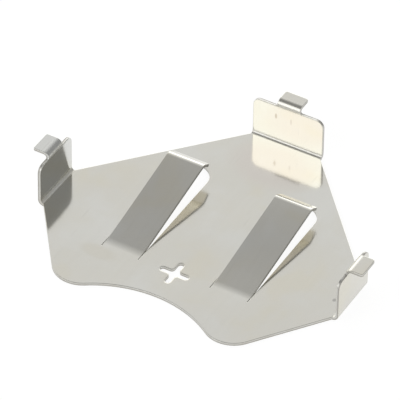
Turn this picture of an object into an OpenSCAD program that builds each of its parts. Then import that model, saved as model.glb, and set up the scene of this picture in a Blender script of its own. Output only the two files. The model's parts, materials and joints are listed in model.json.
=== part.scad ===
// Surface-mount retainer for a coin cell: one thin sheet, blanked, folded and plated.
// X runs across the cell, Y from the open front to the rear wall, Z from the plate towards the board.
// The origin is on the cell's axis, on the outer face of the plate.

/* [Coin cell] */
// Diameter of the cell
cell_d = 20; // [17:0.5:24.5]
// Thickness of the cell
cell_t = 3.2; // [2.5:0.1:5]
// Gap between the rim of the cell and each wall
rim_gap = 0.6; // [0.2:0.1:1]
// Gap left between the cell and the circuit board
board_gap = 0.05; // [0:0.05:0.4]

/* [Sheet] */
// Thickness of the sheet
sheet_t = 0.2; // [0.15:0.05:0.25]
// Inside radius of the bend between the plate and each wall
wall_bend_r = 0.2; // [0.1:0.05:0.3]
// Inside radius of the bend between each wall and its foot
foot_bend_r = 0.1; // [0.05:0.05:0.2]

/* [Walls] */
// Length of each side wall
side_len = 3.85; // [3:0.05:5]
// Distance of the middle of the side walls in front of the cell's axis
side_shift = 0.45; // [0:0.05:1]
// Width of the rear wall
rear_w = 5.1; // [4:0.1:6]
// Radius of the two upper corners of each wall
shoulder_r = 0.55; // [0.2:0.05:0.8]

/* [Solder feet] */
// Width of each foot
foot_w = 1.65; // [1:0.05:2]
// Reach of each foot from the inner face of its wall
foot_reach = 1.2; // [0.8:0.05:1.8]
// Radius of the two outer corners of each foot
foot_corner_r = 0.15; // [0.05:0.05:0.3]
// Height of the neck between the shoulders of a wall and the bend of its foot
neck_h = 0.1; // [0:0.05:0.3]
// Radius of the fillets where the neck leaves the shoulders
neck_r = 0.15; // [0.05:0.05:0.25]

/* [Front edge] */
// Distance from the cell's axis to the tips of the two front lobes
lobe_front = 7.8; // [7:0.1:8.5]
// Distance of the centre of each lobe from the middle
lobe_x = 5.4; // [5:0.1:6]
// Radius of each lobe
lobe_r = 1.95; // [1.8:0.05:2.1]
// Distance from the cell's axis to the deepest point of the scooped front edge
scoop_front = 6.15; // [5.9:0.05:6.4]

/* [Spring fingers] */
// Distance of the middle of each finger from the middle of the plate
finger_x = 3.9; // [3.2:0.1:4.2]
// Width of each finger
finger_w = 2.4; // [2:0.1:2.6]
// Gap between a finger and the sides of its window
finger_gap = 0.15; // [0.1:0.05:0.25]
// Distance of the root bends in front of the cell's axis
root_front = 3.25; // [2.5:0.05:3.5]
// Length of the slits that run past the root bend into the plate
slit_len = 0.6; // [0.3:0.05:0.8]
// Distance from the root bend to the crest of a finger
finger_run = 7.55; // [6:0.05:8]
// Height of the crest above the inner face of the plate
finger_rise = 1.55; // [0.8:0.05:2]
// Inside radius of the root bend
root_r = 0.8; // [0.4:0.1:1.2]
// Inside radius of the crest
crest_r = 0.3; // [0.2:0.05:0.6]
// Length of the straight lip past the crest
lip_len = 0.6; // [0.3:0.05:0.8]
// Downward slope of the lip in degrees
lip_angle = 32; // [15:1:45]

/* [Polarity mark] */
// Size of the plus-shaped cut-out
mark_size = 2.1; // [1.5:0.1:2.4]
// Width of its bars
mark_bar = 0.45; // [0.3:0.05:0.6]
// Radius of its inner corners
mark_r = 0.3; // [0.1:0.05:0.4]
// Distance of its centre in front of the cell's axis
mark_front = 3.85; // [3:0.05:4.2]

/* [Hidden] */

$fn = 96;
seat = cell_d / 2 + rim_gap;                    // inner face of every wall, from the cell's axis
foot_top = sheet_t + cell_t + board_gap;        // face of the feet that is soldered to the board
foot_outer_r = foot_bend_r + sheet_t;
wall_outer_r = wall_bend_r + sheet_t;
neck_top = foot_top - foot_outer_r;             // the bends of the feet start here
shoulder_z = neck_top - neck_h;
hinge = seat - wall_bend_r;                     // line where the plate ends and a wall bend starts
window_w = finger_w + 2 * finger_gap;
lobe_y = lobe_r - lobe_front;
past = 1;                                       // how far a cutting shape runs past the sheet
lap = sheet_t;                                  // how far a wall or finger runs into the plate
seam = 0.001;                                   // overlap that leaves no sliver where arcs touch

// The fingers rise at the one slope that joins both bends with a straight stretch.
root_mid_r = root_r + sheet_t / 2;
crest_mid_r = crest_r + sheet_t / 2;
bend_sum = root_mid_r + crest_mid_r;
climb = atan2(finger_run, bend_sum - finger_rise)
    - acos(bend_sum / norm([finger_run, bend_sum - finger_rise]));
straight = (finger_run - bend_sum * sin(climb)) / cos(climb);

// Centres of both bends in the side view of a finger, where X stands for Y and Y for height.
from_root = [sin(climb), -cos(climb)];          // from the middle of the root bend to the rising stretch
root_c = [-root_front, sheet_t / 2 + root_mid_r];
crest_c = root_c + bend_sum * from_root + straight * [cos(climb), sin(climb)];

// Length of the finger when the sheet is still flat: its corners just clear the round window end.
bend_len = root_mid_r * climb + crest_mid_r * (climb + lip_angle);
flat_len = straight + lip_len + bend_len * PI / 180;
corner_depth = sqrt(pow(window_w / 2, 2) - pow(finger_w / 2, 2));
window_round_y = flat_len - corner_depth + finger_gap / 2 - root_front;

// The scooped front edge is the one arc that runs smoothly into both lobes.
scoop_gap = lobe_y + scoop_front;
scoop_r = (pow(lobe_x, 2) + pow(scoop_gap, 2) - pow(lobe_r, 2)) / (2 * (lobe_r - scoop_gap));
scoop_y = -scoop_front - scoop_r;

// Point where a straight edge from p touches the right-hand lobe.
function lobe_touch(p) =
    let (c = [lobe_x, lobe_y], v = p - c)
    let (a = atan2(v.y, v.x) - acos(lobe_r / norm(v)))
    c + lobe_r * [cos(a), sin(a)];

// Point where the scoop meets the right-hand lobe.
function scoop_touch() =
    let (c = [lobe_x, lobe_y], up = c - [0, scoop_y])
    c - lobe_r * up / norm(up);

function mirrored(list) = [for (i = [len(list) - 1:-1:0]) [-list[i].x, list[i].y]];

// Quarter of a flat ring, from the +X axis to the +Y axis, to be turned and mirrored into place.
module quarter_ring(inner_r) {
    intersection() {
        difference() {
            circle(r = inner_r + sheet_t);
            circle(r = inner_r);
        }
        square(inner_r + sheet_t);
    }
}

// Flat blank of the plate, up to the lines where the wall bends start.
module plate_outline() {
    side_front = [hinge, -side_shift - side_len / 2];
    side_rear = [hinge, -side_shift + side_len / 2];
    rear_corner = [rear_w / 2, hinge];
    right = [scoop_touch(), lobe_touch(side_front), side_front, side_rear, rear_corner];
    difference() {
        union() {
            polygon(concat(right, mirrored(right)));
            for (side = [-1, 1])
                translate([side * lobe_x, lobe_y]) circle(r = lobe_r);
        }
        translate([0, scoop_y]) circle(r = scoop_r + seam);
    }
}

// Opening that a finger is lanced from, with a slit past each side of its root.
module finger_window() {
    translate([-window_w / 2, -root_front]) square([window_w, root_front + window_round_y]);
    translate([0, window_round_y]) circle(d = window_w);
    for (side = [-1, 1])
        translate([side * (finger_w + finger_gap) / 2, -root_front - slit_len]) {
            translate([-finger_gap / 2, 0]) square([finger_gap, slit_len + past]);
            circle(d = finger_gap);
        }
}

// Plus sign with round bar ends and filleted inner corners.
module plus_mark() {
    reach = (mark_size - mark_bar) / 2;
    corner = mark_bar / 2 + mark_r;
    for (turn = [0, 90])
        rotate(turn) {
            square([2 * reach, mark_bar], center = true);
            for (side = [-1, 1])
                translate([side * reach, 0]) circle(d = mark_bar);
        }
    difference() {
        square(2 * corner, center = true);
        for (x = [-corner, corner], y = [-corner, corner])
            translate([x, y]) circle(r = mark_r);
    }
}

module plate() {
    linear_extrude(sheet_t)
        difference() {
            plate_outline();
            for (side = [-1, 1])
                translate([side * finger_x, 0]) finger_window();
            translate([0, -mark_front]) plus_mark();
        }
}

// Section through a wall and its foot: X is outward from the wall's inner face, Y is height.
module wall_section() {
    translate([-wall_bend_r - lap, 0]) square([lap, sheet_t]);
    translate([-wall_bend_r, wall_outer_r]) mirror([0, 1]) quarter_ring(wall_bend_r);
    translate([0, wall_outer_r]) square([sheet_t, neck_top - wall_outer_r]);
    translate([foot_outer_r, neck_top]) mirror([1, 0]) quarter_ring(foot_bend_r);
    translate([foot_outer_r, foot_top - sheet_t]) square([foot_reach - foot_outer_r, sheet_t]);
}

// Wall and neck seen from outside: X is along the wall, Y is height.
module wall_face(length) {
    inset = length / 2 - shoulder_r;
    neck_corner = foot_w / 2 + neck_r;
    translate([-length / 2, 0]) square([length, shoulder_z - shoulder_r]);
    translate([-inset, 0]) square([2 * inset, shoulder_z]);
    for (side = [-1, 1])
        translate([side * inset, shoulder_z - shoulder_r]) circle(r = shoulder_r);
    translate([-foot_w / 2, 0]) square([foot_w, foot_top]);
    difference() {
        translate([-neck_corner, 0]) square([2 * neck_corner, shoulder_z + neck_r]);
        for (side = [-1, 1])
            translate([side * neck_corner, shoulder_z + neck_r]) circle(r = neck_r);
    }
}

// Wall and foot seen from above: X is outward, Y is along the wall.
module wall_plan(length) {
    straight_reach = foot_reach - foot_corner_r;
    straight_w = foot_w / 2 - foot_corner_r;
    translate([-wall_bend_r - lap, -length / 2]) square([lap + wall_outer_r, length]);
    translate([0, -foot_w / 2]) square([straight_reach, foot_w]);
    translate([0, -straight_w]) square([foot_reach, 2 * straight_w]);
    for (side = [-1, 1])
        translate([straight_reach, side * straight_w]) circle(r = foot_corner_r);
}

// Wall with its foot, standing outward along +X, with its inner face at X = 0.
module wall(length) {
    intersection() {
        rotate([90, 0, 0]) linear_extrude(length, center = true) wall_section();
        translate([-past, 0, 0]) rotate([90, 0, 90]) linear_extrude(foot_reach + 2 * past) wall_face(length);
        linear_extrude(foot_top) wall_plan(length);
    }
}

// All that lies below one face of a finger in its side view.
// side is the distance of the face from the middle of the sheet, spare what both ends run on by.
module below_finger(side, spare) {
    root_here = root_mid_r - side;
    crest_here = crest_mid_r + side;
    start = -root_front - lap - spare;
    lip_start = crest_c + crest_here * [sin(lip_angle), cos(lip_angle)];
    lip_past = lip_start + (lip_len + sheet_t + spare) * [cos(lip_angle), -sin(lip_angle)];
    difference() {
        union() {
            polygon([
                [start, -past],
                [start, sheet_t / 2 + side],
                root_c - [0, root_here],
                root_c + (root_here - seam) * from_root,
                crest_c - crest_here * from_root,
                lip_start,
                lip_past,
                [lip_past.x, -past]
            ]);
            translate(crest_c) circle(r = crest_here + seam);
        }
        translate(root_c) circle(r = root_here);
    }
}

// Side view of a finger: the sheet between its two faces, cut off square at the lip.
module finger_section() {
    difference() {
        below_finger(sheet_t / 2, spare = 0);
        below_finger(-sheet_t / 2, spare = 2 * sheet_t);
        translate(crest_c) rotate(-lip_angle) translate([lip_len, 0]) square(2 * past);
    }
}

// Springy tongue that presses on the cell, as wide as the window less its gaps.
module finger() {
    translate([-finger_w / 2, 0, 0])
        rotate([90, 0, 90]) linear_extrude(finger_w) finger_section();
}

module retainer() {
    color("#c9c8c2")
        union() {
            plate();
            for (side = [-1, 1])
                translate([side * finger_x, 0, 0]) finger();
            for (turn = [0, 180])
                rotate(turn)
                    translate([seat, turn == 0 ? -side_shift : side_shift, 0]) wall(side_len);
            translate([0, seat, 0]) rotate(90) wall(rear_w);
        }
}

retainer();
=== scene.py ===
"""Looks of a folded sheet-metal coin cell holder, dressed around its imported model.

The holder is made here as it is in the press shop: a flat blank is cut out with its slots and
its plus-shaped hole, its rims get the rounding of the shears, and it is then folded up.
"""

import json
import math

import bmesh
import bpy
import numpy as np
from mathutils import Matrix, Vector


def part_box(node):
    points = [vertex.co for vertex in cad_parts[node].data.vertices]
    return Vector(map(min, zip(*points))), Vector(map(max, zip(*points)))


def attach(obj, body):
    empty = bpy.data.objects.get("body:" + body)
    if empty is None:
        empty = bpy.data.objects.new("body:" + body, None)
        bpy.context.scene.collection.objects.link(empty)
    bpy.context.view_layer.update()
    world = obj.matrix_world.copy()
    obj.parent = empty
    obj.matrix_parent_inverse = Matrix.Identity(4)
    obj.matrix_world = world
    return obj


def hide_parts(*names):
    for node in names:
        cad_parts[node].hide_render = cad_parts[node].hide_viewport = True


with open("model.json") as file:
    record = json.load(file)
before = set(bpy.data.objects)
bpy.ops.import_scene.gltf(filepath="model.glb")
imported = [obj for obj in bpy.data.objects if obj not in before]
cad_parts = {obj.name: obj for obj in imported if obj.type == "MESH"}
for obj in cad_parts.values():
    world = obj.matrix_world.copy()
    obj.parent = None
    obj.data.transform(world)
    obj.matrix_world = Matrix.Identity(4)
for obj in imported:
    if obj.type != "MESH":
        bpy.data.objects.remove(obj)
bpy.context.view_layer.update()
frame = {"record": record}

MM = 0.001
NODE = "retainer"
low, high = (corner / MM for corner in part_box(NODE))
mounts = {mount["name"]: Vector(mount["pos_m"]) / MM for mount in frame["record"]["mounts"]}

# --------------------------------------------------------------------------------------------
# Sizes of the stamping, in millimetres. A few are finer than in the part's source.
# --------------------------------------------------------------------------------------------
QUARTER = math.pi / 2
SHEET = mounts["cell_face"].z - mounts["plate_face"].z

# Walls and their feet. The seat is a wall's inner face, and its bend starts at the hinge.
WALL_BEND_R, FOOT_BEND_R, FOOT_REACH = 0.2, 0.26, 1.2
SEAT = high.x - FOOT_REACH
HINGE = SEAT - WALL_BEND_R
SIDE_LEN, SIDE_SHIFT, REAR_W, SHOULDER_R = 3.85, -mounts["foot_left"].y, 5.1, 0.55
FOOT_W, FOOT_CORNER_R, SHOULDER_DROP, NECK_R = 1.65, 0.15, 0.4, 0.15

# The front lobes, and the scooped edge between them.
LOBE_X, LOBE_R, SCOOP_FRONT = 5.4, 1.95, 6.15
LOBE_Y = low.y + LOBE_R

# The spring fingers, and the windows that they are lanced from.
FINGER_X, FINGER_W, WINDOW_W = 3.9, 2.62, 2.7
ROOT_FRONT, SLIT_LEN, FINGER_RUN = 3.65, 0.2, 7.95
ROOT_R, CREST_R, LIP_LEN, LIP_ANGLE = 3.0, 0.42, 0.58, math.radians(32)
BOW = 0.012  # how much steeper a finger is in the middle than at its ends, in radians
FINGER_RISE = {"left": 1.66, "right": 1.46}  # one stands a little higher, as sprung parts do
MEAN_RISE = 1.55
DRAWN_LONGER = 0.34  # what a finger gains in length when the press draws it up
ROUND_BACK = 0.273  # from a flat finger's tip back to the centre of its window's round end

# The plus mark.
MARK_SIZE, MARK_BAR, MARK_R, MARK_FRONT = 2.02, 0.39, 0.22, 3.80

# Rounding that the shears leave on the rims, as (width, depth), and on the blank's corners.
ROLL, SLOT_ROLL, MARK_ROLL = (0.05, 0.02), (0.03, 0.012), (0.11, 0.022)
BURR_R, CORNER_R = 0.015, 0.08
ROLL_STEPS, BURR_STEPS = 6, 3

# The widest turn between two scored lines, and the squares that the flat parts are cut into.
BEND_STEP, FINGER_STEP = math.radians(9), math.radians(3)
GRID_REACH, GRID_STEP = 10, 1.0

# How near to each other points are taken as one: on a loop, on a scored line, in the mesh.
SAME_ON_LOOP, SAME_ON_LINE, SAME_IN_MESH = 1e-4, 1e-5, 5e-4

# The plate's unevenness: height of each wave, its turns along x and y, and where it starts.
WAVES = [(0.006, 0.42, 0.31, 0.8), (0.004, 0.55, -0.74, 2.1)]
WAVE_FADE = 3  # how far inside the hinges the waves start to die out


def finger_fold(rise):
    """Runs and bends of a finger from its root to its lip, as (length along the sheet, turn)."""
    root, crest = ROOT_R + SHEET / 2, CREST_R + SHEET / 2
    drop = root + crest - rise
    climb = math.atan2(FINGER_RUN, drop) - math.acos((root + crest) / math.hypot(FINGER_RUN, drop))
    straight = (FINGER_RUN - (root + crest) * math.sin(climb)) / math.cos(climb)
    foot = climb - BOW / 2
    over = foot + LIP_ANGLE
    bowed = [(straight / 2, BOW), (straight / 2, -BOW)]
    return [(root * foot, foot), *bowed, (crest * over, -over), (LIP_LEN, 0)]


def wall_fold():
    """Runs and bends of a wall and its foot, from the plate outward."""
    straight = high.z - (FOOT_BEND_R + SHEET) - (WALL_BEND_R + SHEET)
    return [
        ((WALL_BEND_R + SHEET / 2) * QUARTER, QUARTER),
        (straight, 0),
        ((FOOT_BEND_R + SHEET / 2) * QUARTER, -QUARTER),
        (FOOT_REACH - FOOT_BEND_R - SHEET, 0),
    ]


WALL_FOLD = wall_fold()
WALL_FLAT = sum(length for length, _ in WALL_FOLD)
FINGER_LONG = sum(length for length, _ in finger_fold(MEAN_RISE))
FINGER_FLAT = FINGER_LONG - DRAWN_LONGER
TIP = FINGER_FLAT - ROOT_FRONT
WINDOW_ROUND = TIP - ROUND_BACK


# --------------------------------------------------------------------------------------------
# The flat blank: closed loops of points, seen from the cell's side.
# --------------------------------------------------------------------------------------------
def arc(centre, radius, start, end, step=math.radians(7)):
    """Points along an arc between two angles."""
    count = max(2, math.ceil(abs(end - start) / step))
    turns = [start + (end - start) * i / count for i in range(count + 1)]
    return [(centre[0] + radius * math.cos(a), centre[1] + radius * math.sin(a)) for a in turns]


def mirrored(points):
    """The points on the other side of the middle, in the order that goes on round the blank."""
    return [(-x, y) for x, y in reversed(points)]


def wall_tab(length):
    """Half of a wall and its foot laid flat, as (past the hinge, from the middle)."""
    base = WALL_FOLD[0][0] - (WALL_BEND_R + SHEET)  # what the bend adds to a height on the wall
    shoulder = high.z - SHOULDER_DROP + base
    half, foot = length / 2, FOOT_W / 2
    points = [(0.0, half)]
    points += arc((shoulder - SHOULDER_R, half - SHOULDER_R), SHOULDER_R, QUARTER, 0)
    points += arc((shoulder + NECK_R, foot + NECK_R), NECK_R, math.pi, math.pi + QUARTER)
    points += arc((WALL_FLAT - FOOT_CORNER_R, foot - FOOT_CORNER_R), FOOT_CORNER_R, QUARTER, 0)
    return points


def outer_loop():
    """Outline of the blank, against the clock."""
    centre = np.array([LOBE_X, LOBE_Y])
    gap = LOBE_Y + SCOOP_FRONT
    scoop_r = (LOBE_X**2 + gap**2 - LOBE_R**2) / (2 * (LOBE_R - gap))
    scoop_y = -SCOOP_FRONT - scoop_r
    inward = math.atan2(LOBE_Y - scoop_y, LOBE_X)
    away = np.array([HINGE, -SIDE_SHIFT - SIDE_LEN / 2]) - centre
    leave = math.atan2(away[1], away[0]) - math.acos(LOBE_R / np.linalg.norm(away))
    right = arc((0, scoop_y), scoop_r, QUARTER, inward, math.radians(3))
    right += arc(centre, LOBE_R, inward - math.pi, leave, math.radians(4))[1:]
    side = wall_tab(SIDE_LEN)
    right += [(HINGE + s, -SIDE_SHIFT - u) for s, u in side]
    right += [(HINGE + s, -SIDE_SHIFT + u) for s, u in reversed(side)]
    right += [(u, HINGE + s) for s, u in wall_tab(REAR_W)]
    return right + mirrored(right)[:-1]


def finger_slot(side):
    """The narrow slot that sets a finger free: up one side, round its tip and down the other."""
    middle = side * FINGER_X
    half, wide = FINGER_W / 2, WINDOW_W / 2
    end, slit = -ROOT_FRONT - SLIT_LEN, (wide - half) / 2
    outside = arc((half + slit, end), slit, -math.pi, 0, math.radians(60))
    outside += arc((0, WINDOW_ROUND), wide, 0, math.pi, math.radians(6))
    outside += arc((-half - slit, end), slit, -math.pi, 0, math.radians(60))
    inside = [(-half, TIP), (half, TIP)]
    return [(middle + x, y) for x, y in outside + inside]


def plus_loop():
    """The plus mark: round bar ends and filleted inner corners."""
    end, half = (MARK_SIZE - MARK_BAR) / 2, MARK_BAR / 2
    corner = half + MARK_R
    points = []
    for turn in range(4):
        c, s = math.cos(turn * QUARTER), math.sin(turn * QUARTER)
        arm = arc((end, 0), half, -QUARTER, QUARTER, math.radians(15))
        arm += arc((corner, corner), MARK_R, -QUARTER, -math.pi, math.radians(15))
        points += [(c * x - s * y, s * x + c * y - MARK_FRONT) for x, y in arm]
    return points


def thinned(loop):
    """The loop with its points as arrays, without any that fall on the one before."""
    kept = [np.array(loop[0], float)]
    for point in loop[1:]:
        if np.linalg.norm(np.array(point) - kept[-1]) > SAME_ON_LOOP:
            kept.append(np.array(point, float))
    if np.linalg.norm(kept[0] - kept[-1]) < SAME_ON_LOOP:
        kept.pop()
    return kept


def softened(loop, sharpest=math.radians(25), most=0.4):
    """The loop with a curve in each sharp corner, over no more than that share of a run."""
    made, count = [], len(loop)
    for i, point in enumerate(loop):
        before, after = point - loop[i - 1], loop[(i + 1) % count] - point
        turn = math.atan2(before[0] * after[1] - before[1] * after[0], before @ after)
        if abs(turn) < sharpest:
            made.append(point)
            continue
        come, go = np.linalg.norm(before), np.linalg.norm(after)
        back = min(CORNER_R * math.tan(abs(turn) / 2), most * come, most * go)
        start, end = point - back * before / come, point + back * after / go
        for t in np.linspace(0, 1, 5):
            made.append((1 - t) ** 2 * start + 2 * t * (1 - t) * point + t**2 * end)
    return np.array(made)


def outward(loop):
    """Unit vector at each point of a loop, square to it and to the right of the way it runs."""
    ahead = np.roll(loop, -1, axis=0) - loop
    ahead /= np.linalg.norm(ahead, axis=1)[:, None]
    right = np.stack([ahead[:, 1], -ahead[:, 0]], axis=1)
    both = right + np.roll(right, 1, axis=0)
    both /= np.linalg.norm(both, axis=1)[:, None]
    return both


def signed_area(loop):
    """The loop's area, above zero where it runs against the clock."""
    ahead = np.roll(loop, -1, axis=0)
    return 0.5 * np.sum(loop[:, 0] * ahead[:, 1] - loop[:, 1] * ahead[:, 0])


# --------------------------------------------------------------------------------------------
# The blank as a closed solid with rounded rims, still flat.
# --------------------------------------------------------------------------------------------
def rim_section(roll_w, roll_d):
    """Rings down a rim, from the upper face to the lower: (inset, height, lean of the normal)."""
    rings = []
    for t in np.linspace(0, QUARTER, ROLL_STEPS):
        lean = math.atan2(math.cos(t) / roll_d, math.sin(t) / roll_w)
        rings.append((roll_w * (1 - math.sin(t)), SHEET / 2 - roll_d * (1 - math.cos(t)), lean))
    for t in np.linspace(0, QUARTER, BURR_STEPS):
        rings.append((BURR_R * (1 - math.cos(t)), BURR_R * (1 - math.sin(t)) - SHEET / 2, -t))
    return rings


def flat_blank():
    """The blank as a bmesh with its normal kept on each point."""
    bm = bmesh.new()
    lean = bm.verts.layers.float_vector.new("lean")
    faces = {"upper": [], "lower": []}
    slots = [(finger_slot(side), SLOT_ROLL) for side in (-1, 1)]
    cuts = [(outer_loop(), ROLL), *slots, (plus_loop(), MARK_ROLL)]
    for number, (raw, roll) in enumerate(cuts):
        loop = softened(thinned(raw))
        if (signed_area(loop) > 0) != (number == 0):
            loop = loop[::-1]
        out = outward(loop)
        rings = []
        for inset, height, angle in rim_section(*roll):
            level, steep = math.cos(angle), math.sin(angle)
            ring = []
            for point, normal in zip(loop - inset * out, out):
                vert = bm.verts.new((point[0], point[1], height))
                vert[lean] = (normal[0] * level, normal[1] * level, steep)
                ring.append(vert)
            rings.append(ring)
        for step, (upper, lower) in enumerate(zip(rings, rings[1:]), 1):
            for i in range(len(upper)):
                face = bm.faces.new((upper[i - 1], lower[i - 1], lower[i], upper[i]))
                face.material_index = 0 if step < ROLL_STEPS else 1
        for name, ring in (("upper", rings[0]), ("lower", rings[-1])):
            faces[name] += [bm.edges.get((ring[i - 1], ring[i])) for i in range(len(ring))]
    for edges in faces.values():
        bmesh.ops.triangle_fill(bm, use_beauty=True, edges=edges)
    return bm


def scored(bm):
    """Cuts the flat blank along every line where it will bend, and into squares in between."""

    def cut(axis, at, keep):
        chosen = [face for face in bm.faces if keep(face.calc_center_bounds())]
        edges = (edge for face in chosen for edge in face.edges)
        verts = (vert for face in chosen for vert in face.verts)
        spot = (at, 0, 0) if axis == 0 else (0, at, 0)
        across = (1, 0, 0) if axis == 0 else (0, 1, 0)
        geometry = list({*chosen, *edges, *verts})
        bmesh.ops.bisect_plane(
            bm, geom=geometry, dist=SAME_ON_LINE, plane_co=spot, plane_no=across
        )

    def lines(fold, widest):
        """Where a strip is scored, so that no facet turns by more than the widest step."""
        spots, start = [0.0], 0.0
        for length, turn in fold:
            count = max(1, math.ceil(abs(turn) / widest)) if turn else 1
            spots += [start + length * (i + 1) / count for i in range(count)]
            start += length
        return spots[:-1]

    for at in np.arange(-GRID_REACH, GRID_REACH + GRID_STEP / 2, GRID_STEP):
        cut(0, at, lambda c: True)
        cut(1, at, lambda c: True)
    beside = HINGE - 1  # takes in every face that a hinge may cross
    for s in lines(WALL_FOLD, BEND_STEP):
        cut(0, HINGE + s, lambda c: c.x > beside)
        cut(0, -HINGE - s, lambda c: c.x < -beside)
        cut(1, HINGE + s, lambda c: c.y > beside)
    for side, name in ((-1, "left"), (1, "right")):
        for s in lines(finger_fold(FINGER_RISE[name]), FINGER_STEP):
            at = s * FINGER_FLAT / FINGER_LONG - ROOT_FRONT
            cut(1, at, lambda c: abs(c.x - side * FINGER_X) < FINGER_W)


# --------------------------------------------------------------------------------------------
# Folding.
# --------------------------------------------------------------------------------------------
def follow(s, height, fold):
    """Where a point goes that lies s along a strip and height over mid-sheet: (run, rise)."""
    run, rise, heading, start = np.zeros_like(s), np.zeros_like(s), np.zeros_like(s), 0.0
    for number, (length, turn) in enumerate(fold, 1):
        t = np.clip(s - start, 0, length if number < len(fold) else None)
        if turn:
            radius, on = length / turn, heading + turn * t / length
            run += radius * (np.sin(on) - np.sin(heading))
            rise += radius * (np.cos(heading) - np.cos(on))
            heading = on
        else:
            run += t * np.cos(heading)
            rise += t * np.sin(heading)
        start += length
    run += np.minimum(s, 0)
    return run - height * np.sin(heading), rise + height * np.cos(heading)


def wave(x, y):
    """The plate's slight unevenness, in millimetres, which dies out at the hinges."""
    height = sum(size * np.sin(kx * x + ky * y + start) for size, kx, ky, start in WAVES)
    fade_x = np.clip((HINGE - np.abs(x)) / WAVE_FADE, 0, 1)
    fade_y = np.clip((HINGE - y) / WAVE_FADE, 0, 1)
    return height * (fade_x * fade_y)


def folded(flat):
    """The map from the flat blank to the folded holder."""
    x, y, height = flat.T.copy()
    uneven = wave(x, y)
    made = np.stack([x, y, height + SHEET / 2 + uneven], axis=1)
    for side in (-1, 1):
        wall = side * x > HINGE
        run, rise = follow(side * x[wall] - HINGE, height[wall], WALL_FOLD)
        made[wall, 0], made[wall, 2] = side * (HINGE + run), rise + SHEET / 2
    wall = y > HINGE
    run, rise = follow(y[wall] - HINGE, height[wall], WALL_FOLD)
    made[wall, 1], made[wall, 2] = HINGE + run, rise + SHEET / 2
    past_side, past_tip = 0.01, 0.004  # so that a finger's own rim bends with it
    for side, name in ((-1, "left"), (1, "right")):
        within = np.abs(x - side * FINGER_X) < FINGER_W / 2 + past_side
        tongue = within & (y > -ROOT_FRONT) & (y < TIP + past_tip)
        along = (y[tongue] + ROOT_FRONT) * FINGER_LONG / FINGER_FLAT
        run, rise = follow(along, height[tongue], finger_fold(FINGER_RISE[name]))
        made[tongue, 1] = run - ROOT_FRONT
        made[tongue, 2] = rise + SHEET / 2 + uneven[tongue]
    return made


def turned(flat, lean, step=1e-5):
    """The normals after folding, from the map's slopes at each point."""
    moves = step * np.eye(3)
    columns = [(folded(flat + move) - folded(flat - move)) / (2 * step) for move in moves]
    slopes = np.stack(columns, axis=2)
    normals = np.einsum("nij,nj->ni", np.linalg.inv(slopes).transpose(0, 2, 1), lean)
    return normals / np.linalg.norm(normals, axis=1)[:, None]


def folded_sheet():
    """The holder as a mesh object, with the flat blank's coordinates kept for its patterns."""
    bm = flat_blank()
    scored(bm)
    bmesh.ops.remove_doubles(bm, verts=bm.verts, dist=SAME_IN_MESH)
    lean_layer = bm.verts.layers.float_vector["lean"]
    flat = np.array([v.co for v in bm.verts])
    lean = np.array([v[lean_layer] for v in bm.verts])
    lean /= np.linalg.norm(lean, axis=1)[:, None]
    normals = turned(flat, lean)
    for vert, spot in zip(bm.verts, folded(flat) * MM):
        vert.co = spot
    bm.verts.layers.float_vector.remove(lean_layer)
    bmesh.ops.recalc_face_normals(bm, faces=bm.faces)
    mesh = bpy.data.meshes.new("folded_sheet")
    bm.to_mesh(mesh)
    bm.free()
    kept = mesh.attributes.new("blank", "FLOAT_VECTOR", "POINT")
    kept.data.foreach_set("vector", (flat * MM).ravel())
    mesh.polygons.foreach_set("use_smooth", [True] * len(mesh.polygons))
    mesh.normals_split_custom_set_from_vertices(normals.tolist())
    sheet = bpy.data.objects.new("folded_sheet", mesh)
    bpy.context.scene.collection.objects.link(sheet)
    return sheet


# --------------------------------------------------------------------------------------------
# Node trees.
# --------------------------------------------------------------------------------------------
class Wiring:
    """Adds nodes to a tree. A node's inputs are given as plain values or as sockets to join."""

    def __init__(self, tree):
        self.tree = tree

    def join(self, source, target):
        self.tree.links.new(source, target)

    def add(self, kind, inputs=None, **settings):
        """A new node."""
        node = self.tree.nodes.new("ShaderNode" + kind)
        for name, value in settings.items():
            setattr(node, name, value)
        for socket, value in (inputs or {}).items():
            if isinstance(value, bpy.types.NodeSocket):
                self.join(value, node.inputs[socket])
            else:
                node.inputs[socket].default_value = value
        return node

    def maths(self, operation, *terms):
        """What a Math node makes of its terms."""
        return self.add("Math", dict(enumerate(terms)), operation=operation).outputs["Value"]

    def vectors(self, operation, *terms, result="Vector"):
        """What a Vector Math node makes of its terms."""
        return self.add("VectorMath", dict(enumerate(terms)), operation=operation).outputs[result]

    def noise(self, place, scale, **shape):
        """A noise texture's value."""
        return self.add("TexNoise", {"Vector": place, "Scale": scale, **shape}).outputs["Fac"]

    def mapped(self, value, start, end, first=0.0, last=1.0, passage="LINEAR"):
        """A value that goes from first to last while the given one goes from start to end."""
        limits = {"From Min": start, "From Max": end, "To Min": first, "To Max": last}
        node = self.add("MapRange", {"Value": value, **limits}, interpolation_type=passage)
        return node.outputs["Result"]

    def eased(self, value, start, end, first=0.0, last=1.0):
        """As mapped, with a soft start and a soft end."""
        return self.mapped(value, start, end, first, last, "SMOOTHSTEP")

    def blended(self, share, under, over, **settings):
        """The colour between two."""
        colours = {"Factor": share, "A": under, "B": over}
        return self.add("Mix", colours, data_type="RGBA", **settings).outputs["Result"]


def bare_tree(owner):
    """Wiring for the owner's node tree, which is emptied first."""
    owner.use_nodes = True
    owner.node_tree.nodes.clear()
    return Wiring(owner.node_tree)


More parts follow.
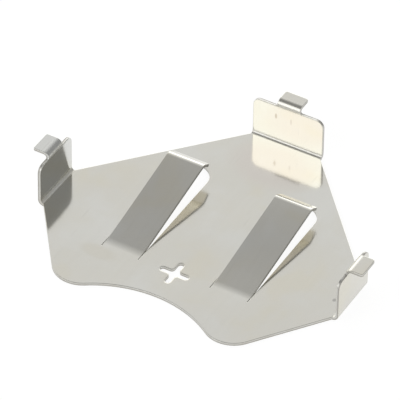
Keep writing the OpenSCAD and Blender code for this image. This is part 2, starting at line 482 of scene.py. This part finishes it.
def new_group(name, inputs, outputs):
    """An empty node group. An input is given by its kind, or a plain number by its value."""
    group = bpy.data.node_groups.new(name, "ShaderNodeTree")
    for label, given in inputs.items():
        kind = given if isinstance(given, str) else "Float"
        socket = group.interface.new_socket(
            label, in_out="INPUT", socket_type="NodeSocket" + kind
        )
        if kind == "Float":
            socket.default_value = given
    for label, kind in outputs.items():
        group.interface.new_socket(label, in_out="OUTPUT", socket_type="NodeSocket" + kind)
    start, end = group.nodes.new("NodeGroupInput"), group.nodes.new("NodeGroupOutput")
    return group, Wiring(group), start.outputs, end.inputs


def ramp(node, stops):
    """Sets a colour ramp's stops from (position, colour) pairs."""
    elements = node.color_ramp.elements
    while len(elements) > 1:
        elements.remove(elements[-1])
    for number, (position, colour) in enumerate(stops):
        stop = elements[0] if number == 0 else elements.new(position)
        stop.position, stop.color = position, opaque(colour)


def opaque(colour):
    return (*colour, 1)


def grey(level):
    return (level, level, level)


# --------------------------------------------------------------------------------------------
# Camera and studio, in metres. Headings are degrees to the right of straight back, and up.
# --------------------------------------------------------------------------------------------
CAMERA_TURN, CAMERA_RISE, CAMERA_ROLL = 29.333, 40.936, -0.897
CAMERA_AIM, CAMERA_AWAY = Vector((-2.085, 3.013, SHEET)) * MM, 299.14 * MM
SENSOR_MM, LENS_MM = 36, 425.5

# Lightness of the room, by the sine of the elevation.
WALLS = [(0.0, 0.86), (0.31, 0.87), (0.50, 0.86), (0.62, 0.81), (0.68, 0.77)]
CEILING = [(0.78, 0.60), (0.852, 0.47), (0.876, 0.41), (0.92, 0.34), (1.0, 0.30)]

LAMP_HEADING, LAMP_AWAY, LAMP_SIZE, LAMP_LEVEL = (209.3, 32), 0.5, 0.31, 0.95

# The table top. It glows only to the camera and in reflections, by these shares.
TABLE_REACH, TABLE_DROP, TABLE_GREY, TABLE_GLOW = 3.0, 0.00002, 0.88, 1.165
GLOW_SEEN, GLOW_MIRRORED = 0.75, 0.60


def camera():
    """A long lens in front on the right, well above the holder."""
    turn, rise, roll = (math.radians(a) for a in (CAMERA_TURN, CAMERA_RISE, CAMERA_ROLL))
    right = Vector((math.cos(turn), math.sin(turn), 0))
    back = Vector((
        math.sin(turn) * math.cos(rise),
        -math.cos(turn) * math.cos(rise),
        math.sin(rise),
    ))
    up = back.cross(right)
    facing = Matrix((
        right * math.cos(roll) - up * math.sin(roll),
        right * math.sin(roll) + up * math.cos(roll),
        back,
    )).transposed()
    cam = bpy.data.objects.new("camera", bpy.data.cameras.new("camera"))
    cam.data.sensor_width, cam.data.lens = SENSOR_MM, LENS_MM
    cam.data.clip_start, cam.data.clip_end = 0.01, 10
    cam.matrix_world = Matrix.Translation(CAMERA_AIM + back * CAMERA_AWAY) @ facing.to_4x4()
    bpy.context.scene.collection.objects.link(cam)
    bpy.context.scene.camera = cam


def heading(azimuth, elevation):
    """Unit vector towards a heading."""
    a, e = math.radians(azimuth), math.radians(elevation)
    return Vector((math.sin(a) * math.cos(e), math.cos(a) * math.cos(e), math.sin(e)))


def screen_group():
    """A screen standing in the room, with soft edges: it takes the light of the room behind it."""
    group, tree, given, made = new_group(
        "studio_screen",
        {"Direction": "Vector", "Room": "Color", "Aim": "Vector", "Across": "Vector",
         "Up": "Vector", "Softness": 0.2, "Screen": "Color"},
        {"Light": "Color"},
    )
    ahead = tree.vectors("DOT_PRODUCT", given["Direction"], given["Aim"], result="Value")
    reach = []
    for name in ("Across", "Up"):
        off = tree.vectors("DOT_PRODUCT", given["Direction"], given[name], result="Value")
        reach.append(tree.maths("ABSOLUTE", tree.maths("DIVIDE", off, ahead)))
    inner = tree.maths("SUBTRACT", 1.0, given["Softness"])
    outer = tree.maths("ADD", 1.0, given["Softness"])
    inside = tree.eased(tree.maths("MAXIMUM", *reach), inner, outer, 1.0, 0.0)
    mask = tree.maths("MULTIPLY", inside, tree.maths("GREATER_THAN", ahead, 0.0))
    tree.join(tree.blended(mask, given["Room"], given["Screen"]), made["Light"])
    return group


def studio_room():
    """The room round the table: pale low down, darker overhead, with a few screens."""
    room = bpy.data.worlds.new("studio_room")
    bpy.context.scene.world = room
    tree, group = bare_tree(room), screen_group()
    direction = tree.add("TexCoord").outputs["Generated"]
    split = tree.add("SeparateXYZ", {0: direction})
    heights = tree.add("ValToRGB", {"Fac": split.outputs["Z"]})
    ramp(heights, [(z, grey(level)) for z, level in WALLS + CEILING])

    def screened(light, azimuth, elevation, wide, tall, soft, level):
        aim = heading(azimuth, elevation)
        across = aim.cross(Vector((0, 0, 1))).normalized()
        values = {
            "Direction": direction,
            "Room": light,
            "Aim": aim,
            "Across": across / math.tan(math.radians(wide / 2)),
            "Up": across.cross(aim) / math.tan(math.radians(tall / 2)),
            "Softness": soft,
            "Screen": opaque(grey(level)),
        }
        return tree.add("Group", values, node_tree=group).outputs["Light"]

    light = heights.outputs["Color"]
    light = screened(light, azimuth=209, elevation=30, wide=90, tall=44, soft=0.2, level=0.75)
    light = screened(light, azimuth=240, elevation=68, wide=44, tall=28, soft=0.3, level=0.20)
    light = screened(light, azimuth=180, elevation=0, wide=150, tall=22, soft=0.3, level=0.30)
    light = screened(light, azimuth=38, elevation=19, wide=52, tall=66, soft=0.25, level=0.30)
    light = screened(light, azimuth=-25, elevation=8, wide=60, tall=44, soft=0.3, level=1.8)
    seen = tree.blended(tree.add("LightPath").outputs["Is Camera Ray"], light, opaque(grey(1)))
    shade = tree.add("Background", {"Color": seen})
    tree.add("OutputWorld", {"Surface": shade.outputs["Background"]})


def softbox():
    """The key lamp, in front on the left."""
    lamp = bpy.data.lights.new("softbox", "AREA")
    lamp.shape, lamp.size, lamp.size_y = "RECTANGLE", LAMP_SIZE, LAMP_SIZE
    lamp.energy = LAMP_LEVEL * math.pi * lamp.size * lamp.size_y
    box = bpy.data.objects.new("softbox", lamp)
    toward = heading(*LAMP_HEADING)
    box.location = toward * LAMP_AWAY
    box.rotation_euler = toward.to_track_quat("Z", "Y").to_euler()
    bpy.context.scene.collection.objects.link(box)


def floor():
    """A plain white table top, which keeps the holder's shadow."""
    around = ((-1, -1), (1, -1), (1, 1), (-1, 1))
    corners = [(x * TABLE_REACH, y * TABLE_REACH, 0) for x, y in around]
    mesh = bpy.data.meshes.new("floor")
    mesh.from_pydata(corners, [], [(0, 1, 2, 3)])
    ground = bpy.data.objects.new("floor", mesh)
    bpy.context.scene.collection.objects.link(ground)
    ground.location.z = -TABLE_DROP
    mesh.materials.append(table_white())


def table_white():
    """Matt white, with a glow that lights nothing."""
    paint = bpy.data.materials.new("table_white")
    tree = bare_tree(paint)
    ray = tree.add("LightPath").outputs
    shiny = tree.maths("MAXIMUM", ray["Is Glossy Ray"], ray["Is Transmission Ray"])
    mirrored_share = tree.maths("MULTIPLY", shiny, GLOW_MIRRORED)
    share = tree.maths("MULTIPLY_ADD", ray["Is Camera Ray"], GLOW_SEEN, mirrored_share)
    matt = tree.add("BsdfDiffuse", {"Color": opaque(grey(TABLE_GREY))})
    glow = tree.add("Emission", {"Strength": TABLE_GLOW})
    both = tree.add("MixShader", {"Fac": share, 1: matt.outputs[0], 2: glow.outputs[0]})
    tree.add("OutputMaterial", {"Surface": both.outputs[0]})
    return paint


# --------------------------------------------------------------------------------------------
# The metal. Its patterns lie on the flat blank, in millimetres, and fold with it.
# --------------------------------------------------------------------------------------------
PLATED = {
    "Plating": (0.762, 0.749, 0.690, 1),
    "Warm": (0.762, 0.738, 0.650, 1),
    "Cool": (0.774, 0.769, 0.725, 1),
    "Cloud size": 4.5,
}
SHEARED = {
    "Plating": (0.67, 0.66, 0.62, 1),
    "Warm": (0.62, 0.60, 0.55, 1),
    "Cool": (0.70, 0.70, 0.67, 1),
    "Cloud size": 0.9,
}
# The middle colour is painted shade: it darkens and browns the fingers' undersides for the shade
# that falls under them.
SCRATCHED, PAINTED_UNDERSIDE_SHADE, TORN = (0.62, 0.60, 0.55), (0.66, 0.625, 0.54), (0.53, 0.515, 0.475)

# The usual range of the grain's shade, and the plating's lightness and roughness over it.
GRAIN_RANGE, GRAIN_LEVEL, PLATED_ROUGH = (0.3, 0.7), (0.988, 1.01), (0.095, 0.12)

# A rim's roughness from its burnished band to its torn one, where that passage starts and ends
# over mid-sheet, and how far it wanders.
RIM_ROUGH, BURNISHED, TORN_BELOW, RAGGED = (0.38, 0.58), 0.045, 0.005, 0.06
DRAG_LINES = (30, 30, 4)  # scale of the lines that the shears drag down a rim

# What rubbed patches, the fingers' undersides and the bends add to the roughness.
RUBBED, UNDERSIDE_DULLED, BASE_BENT, FOOT_BENT, RIM_RUBBED = 0.07, 0.2, 0.26, 0.18, 0.1

# Where the plating is dulled by the bend at a finger's root, by the cell on its crest and round
# the plus mark: middle, reach, and what it adds to the roughness.
ROOT_WEAR = ((FINGER_X, -ROOT_FRONT + 1.0), (2.6, 1.15), 0.10)
CREST_WEAR = ((FINGER_X, TIP - LIP_LEN - 0.25), (3.6, 0.75), 0.10)
MARK_WEAR = ((0.0, -MARK_FRONT), (1.9, 1.9), 0.10)

# Stains on the plating: middle, reach, and colour.
HEAT_TINT = ((0.3, 8.2), (3.4, 2.4), (0.758, 0.722, 0.668))
COOL_WALL = ((-13.4, -SIDE_SHIFT), (3.9, 3.6), (0.757, 0.760, 0.732))
ROOT_SMEAR = ((-5.1, -4.5), (1.5, 0.7), (0.745, 0.725, 0.655))
TOOL_MARKS = [
    ((-0.87, 12.66), (0.09, 0.26), (0.56, 0.52, 0.45)),
    ((0.23, 12.62), (0.07, 0.28), (0.66, 0.63, 0.57)),
    ((9.77, -0.92), (0.15, 0.19), (0.52, 0.51, 0.48)),
]

# Relief of the surfaces, as a bump's strength and its depth in metres.
GRAIN_RELIEF, DRAG_RELIEF = (0.18, 0.0000006), (0.4, 0.000003)
SCRATCH_DEPTH = 0.6  # of a scratch, against the grain's own height


def rolling_grain():
    """Fine streaks that the rolling mill leaves along the sheet."""
    group, tree, given, made = new_group(
        "rolling_grain",
        {"Place": "Vector", "Streak length": 3.0},
        {"Shade": "Float", "Height": "Float"},
    )
    fine, bands = 16.0, 0.22  # scale of the streaks, and of the bands against them
    along = tree.maths("DIVIDE", 1.0, given["Streak length"])
    shape = tree.add("CombineXYZ", {"X": fine, "Y": along, "Z": fine})
    drawn = tree.vectors("MULTIPLY", given["Place"], shape.outputs[0])
    streaks = tree.noise(drawn, 1.0, Detail=4.0, Roughness=0.65)
    broad = tree.noise(drawn, bands, Detail=2.0)
    both = tree.add("Mix", {"Factor": 0.5, "A": streaks, "B": broad}, data_type="FLOAT")
    tree.join(both.outputs["Result"], made["Shade"])
    tree.join(streaks, made["Height"])
    return group


def plating_tint():
    """The plating's colour, with clouds a little warmer and others a little cooler."""
    group, tree, given, made = new_group(
        "plating_tint",
        {"Place": "Vector", "Plating": "Color", "Warm": "Color", "Cool": "Color",
         "Cloud size": 4.0},
        {"Color": "Color"},
    )
    size = tree.maths("DIVIDE", 1.0, given["Cloud size"])
    clouds = tree.noise(given["Place"], size, Detail=3.0, Roughness=0.55, Distortion=0.3)
    last = given["Plating"]
    for name, start, end in (("Warm", 0.50, 0.68), ("Cool", 0.50, 0.34)):
        last = tree.blended(tree.eased(clouds, start, end), last, given[name])
    tree.join(last, made["Color"])
    return group


def handling_marks():
    """Hairline scratches in two directions, and a few faint rubbed patches."""
    group, tree, given, made = new_group(
        "handling_marks",
        {"Place": "Vector", "Amount": 0.5},
        {"Scratch": "Float", "Rub": "Float"},
    )
    fine = 9.0  # scale of the scratches, across them
    hairline, patchy, rubbed = (0.76, 0.80), (0.52, 0.62), (0.55, 0.75)  # start and end on noise
    masks = []
    for turn, stretch in ((0.5, 0.045), (-0.9, 0.06)):
        laying = {"Rotation": (0, 0, turn), "Scale": (fine, fine * stretch, fine)}
        laid = tree.add("Mapping", {"Vector": given["Place"], **laying}).outputs[0]
        thin = tree.mapped(tree.noise(laid, 1.0, Detail=0.0), *hairline)
        here_and_there = tree.eased(tree.noise(laid, 0.12, Detail=1.0), *patchy)
        masks.append(tree.maths("MULTIPLY", thin, here_and_there))
    scratches = tree.maths("MAXIMUM", *masks)
    patches = tree.noise(given["Place"], 0.55, Detail=3.0, Distortion=0.8)
    for name, mask in (("Scratch", scratches), ("Rub", tree.eased(patches, *rubbed))):
        tree.join(tree.maths("MULTIPLY", mask, given["Amount"]), made[name])
    return group


def on_the_blank(tree):
    """Place on the flat blank, in millimetres."""
    kept = tree.add("Attribute", attribute_name="blank", attribute_type="GEOMETRY")
    values = {0: kept.outputs["Vector"], "Scale": 1 / MM}
    return tree.add("VectorMath", values, operation="SCALE").outputs[0]


def spot(tree, place, centre, reach):
    """Mask of a soft-edged oval on the blank's upper side."""
    gone, full = 1.1, 0.5  # in shares of the reach
    near = tree.vectors("SUBTRACT", place, (*centre, SHEET / 2))
    squeezed = tree.vectors("MULTIPLY", near, (1 / reach[0], 1 / reach[1], 2 / SHEET))
    return tree.eased(tree.vectors("LENGTH", squeezed, result="Value"), gone, full)


def under_the_fingers(tree, place):
    """Mask of the fingers' undersides, which get a painted brown shade and a duller finish."""
    edge, over_edge, from_root = FINGER_W / 2, 0.05, 2  # where the painted shade ends, and where it is full
    split = tree.add("SeparateXYZ", {0: place})
    across = tree.maths("ABSOLUTE", split.outputs["X"])
    apart = tree.maths("ABSOLUTE", tree.maths("SUBTRACT", across, FINGER_X))
    inside = tree.mapped(apart, edge + over_edge, edge)
    along = tree.eased(split.outputs["Y"], -ROOT_FRONT, -ROOT_FRONT + from_root)
    under = tree.maths("LESS_THAN", split.outputs["Z"], 0.0)
    return tree.maths("MULTIPLY", tree.maths("MULTIPLY", inside, along), under)


def over_the_bends(tree, place):
    """Masks of the bends at the plate's border and at the feet, where the plating is stretched."""
    outside, inside = 0.1, 0.05  # how far a mask fades past a bend's ends, and within them
    split = tree.add("SeparateXYZ", {0: place})
    across = tree.maths("ABSOLUTE", split.outputs["X"])
    past = tree.maths("MAXIMUM", across, split.outputs["Y"])
    base, straight, knee = (length for length, _ in WALL_FOLD[:3])
    masks = []
    for middle, length in ((HINGE + base / 2, base), (HINGE + base + straight + knee / 2, knee)):
        apart = tree.maths("ABSOLUTE", tree.maths("SUBTRACT", past, middle))
        masks.append(tree.eased(apart, length / 2 + outside, length / 2 - inside))
    return masks


def plated_face(groups):
    """Bright plating over rolled steel."""
    paint = bpy.data.materials.new("plated_face")
    tree = bare_tree(paint)
    place = on_the_blank(tree)
    tint = tree.add("Group", {"Place": place, **PLATED}, node_tree=groups["tint"])
    grain = tree.add("Group", {"Place": place, "Streak length": 3.5}, node_tree=groups["grain"])
    marks = tree.add("Group", {"Place": place, "Amount": 0.25}, node_tree=groups["marks"])
    underside = under_the_fingers(tree, place)

    colour = tint.outputs["Color"]
    for centre, reach, stain in (HEAT_TINT, COOL_WALL, ROOT_SMEAR, *TOOL_MARKS):
        colour = tree.blended(spot(tree, place, centre, reach), colour, opaque(stain))
    # Painted shade: the fingers' undersides are darkened and browned for the shade that falls
    # under them.
    colour = tree.blended(underside, colour, opaque(PAINTED_UNDERSIDE_SHADE))
    level = tree.mapped(grain.outputs["Shade"], *GRAIN_RANGE, *GRAIN_LEVEL)
    colour = tree.blended(1.0, colour, level, blend_type="MULTIPLY")
    colour = tree.blended(marks.outputs["Scratch"], colour, opaque(SCRATCHED))

    base_bend, foot_bend = over_the_bends(tree, place)
    dulled = [
        (marks.outputs["Rub"], RUBBED),
        (underside, UNDERSIDE_DULLED),
        (base_bend, BASE_BENT),
        (foot_bend, FOOT_BENT),
    ]
    for side in (-1, 1):
        for (x, y), reach, share in (ROOT_WEAR, CREST_WEAR):
            dulled.append((spot(tree, place, (side * x, y), reach), share))
    centre, reach, share = MARK_WEAR
    dulled.append((spot(tree, place, centre, reach), share))
    roughness = tree.mapped(grain.outputs["Shade"], *GRAIN_RANGE, *PLATED_ROUGH)
    for mask, share in dulled:
        roughness = tree.maths("MULTIPLY_ADD", mask, share, roughness)

    height = tree.maths(
        "MULTIPLY_ADD", marks.outputs["Scratch"], -SCRATCH_DEPTH, grain.outputs["Height"]
    )
    finish(tree, colour, roughness, height, GRAIN_RELIEF)
    return paint


def sheared_rim(groups):
    """The cut rims: burnished near the upper face, torn and darker below."""
    paint = bpy.data.materials.new("sheared_rim")
    tree = bare_tree(paint)
    place = on_the_blank(tree)
    tint = tree.add("Group", {"Place": place, **SHEARED}, node_tree=groups["tint"])
    marks = tree.add("Group", {"Place": place, "Amount": 0.8}, node_tree=groups["marks"])

    height_on_rim = tree.add("SeparateXYZ", {0: place}).outputs["Z"]
    wander = tree.noise(place, 3.0, Detail=3.0)
    border = tree.maths("MULTIPLY_ADD", wander, RAGGED, height_on_rim)
    torn = tree.eased(border, BURNISHED, TORN_BELOW)
    colour = tree.blended(torn, tint.outputs["Color"], opaque(TORN))

    roughness = tree.mapped(torn, 0.0, 1.0, *RIM_ROUGH)
    roughness = tree.maths("MULTIPLY_ADD", marks.outputs["Rub"], RIM_RUBBED, roughness)

    stretched = tree.add("Mapping", {"Vector": place, "Scale": DRAG_LINES})
    drag = tree.noise(stretched.outputs[0], 1.0, Detail=3.0)
    finish(tree, colour, roughness, drag, DRAG_RELIEF)
    return paint


def finish(tree, colour, roughness, height, relief):
    """Metal with the given patterns, as the material's surface."""
    strength, depth = relief
    bump = tree.add("Bump", {"Strength": strength, "Distance": depth, "Height": height})
    looks = {"Base Color": colour, "Roughness": roughness, "Normal": bump.outputs["Normal"]}
    metal = tree.add("BsdfPrincipled", {"Metallic": 1.0, **looks})
    tree.add("OutputMaterial", {"Surface": metal.outputs["BSDF"]})


# --------------------------------------------------------------------------------------------
# Everything together.
# --------------------------------------------------------------------------------------------
camera()
studio_room()
softbox()
floor()
holder = folded_sheet()
groups = {"grain": rolling_grain(), "tint": plating_tint(), "marks": handling_marks()}
holder.data.materials.append(plated_face(groups))
holder.data.materials.append(sheared_rim(groups))
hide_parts(NODE)
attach(holder, "root")
bpy.context.scene.view_settings.view_transform = "Standard"
